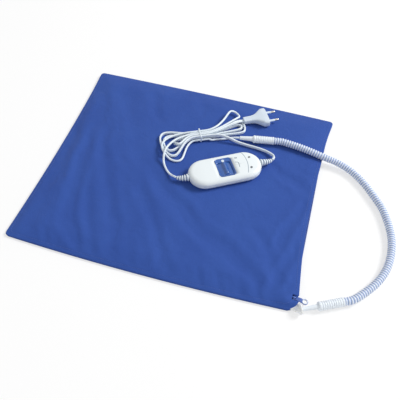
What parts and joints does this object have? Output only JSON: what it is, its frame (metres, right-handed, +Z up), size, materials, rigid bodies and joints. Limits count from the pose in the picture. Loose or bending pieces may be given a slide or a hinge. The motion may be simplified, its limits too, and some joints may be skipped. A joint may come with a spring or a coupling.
{
  "type": "heating pad with controller",
  "caption": "Thin fabric heating pad with a zip cover, a slide-switch controller lying on it, a ribbed hose at its corner and a bundled lead with a flat plug.",
  "frame": {"origin": "middle of the pad's underside", "axes": "+X along the pad's long side towards the hose, +Y along its short side away from the viewer, +Z up through the pad"},
  "size_m": [0.512, 0.3627, 0.0273],
  "materials": {
    "cover_cloth": "plain woven blue cloth",
    "inner_cloth": "pale thin cloth",
    "felt": "needled felt",
    "wire_silicone": "matt silicone",
    "cutout_case": "matt",
    "gland_rubber": "soft matt",
    "zip_chain": "nylon spiral on tape",
    "zip_metal": "satin lacquer",
    "sleeve_plastic": "satin",
    "hose_plastic": "satin ribbed",
    "cord_vinyl": "satin vinyl",
    "tie_plastic": "satin",
    "housing_plastic": "soft gloss",
    "window_plastic": "soft gloss",
    "dot_ink": "soft gloss",
    "lamp_lens": "clear over grey",
    "board": "lacquered board",
    "contact_brass": "plain",
    "relief_rubber": "soft matt",
    "plug_vinyl": "satin",
    "pin_metal": "plated, polished"
  },
  "bodies": {
    "body": {"cover_bottom": "cover_cloth", "cover_top": "cover_cloth", "inner_sheet_lower": "inner_cloth", "inner_sheet_upper": "inner_cloth", "felt_lower": "felt", "felt_upper": "felt", "heating_wire": "wire_silicone", "thermal_cutout_left": "cutout_case", "thermal_cutout_right": "cutout_case", "gland": "gland_rubber", "zip_chain": "zip_chain", "ferrule_pad_end": "sleeve_plastic", "ferrule_controller_end": "sleeve_plastic", "hose": "hose_plastic", "hose_lead": "cord_vinyl", "mains_lead_hank": "cord_vinyl", "pad_lead_hank": "cord_vinyl", "mains_lead_plug_stretch": "cord_vinyl", "mains_lead_controller_stretch": "cord_vinyl", "pad_lead_hose_stretch": "cord_vinyl", "pad_lead_controller_stretch": "cord_vinyl", "cord_tie": "tie_plastic", "housing_lower": "housing_plastic", "housing_upper": "housing_plastic", "switch_window": "window_plastic", "position_dot": "dot_ink", "lamp_far": "lamp_lens", "lamp_near": "lamp_lens", "circuit_board": "board", "switch_contacts": "contact_brass", "relief_left": "relief_rubber", "relief_right": "relief_rubber", "plug_body": "plug_vinyl", "cord_clamp_left": "plug_vinyl", "cord_clamp_right": "plug_vinyl", "plug_pin_left": "pin_metal", "plug_pin_right": "pin_metal"},
    "switch": {"switch_slider": "window_plastic"},
    "zip": {"zip_slider": "zip_metal"},
    "pull": {"zip_pull": "zip_metal"}
  },
  "joints": [
    {"name": "switch_slide", "type": "slide", "parent": "body", "child": "switch", "axis": [0.848, 0.5299, 0], "range_m": [-0.004, 0.004]},
    {"name": "zip_travel", "type": "slide", "parent": "body", "child": "zip", "axis": [0, 1, 0], "range_m": [0, 0.2]},
    {"name": "pull_swing", "type": "hinge", "parent": "zip", "child": "pull", "pos_m": [0.1911, -0.158, 0.00605], "axis": [0, 1, 0], "range_deg": [-115, 0]}
  ]
}
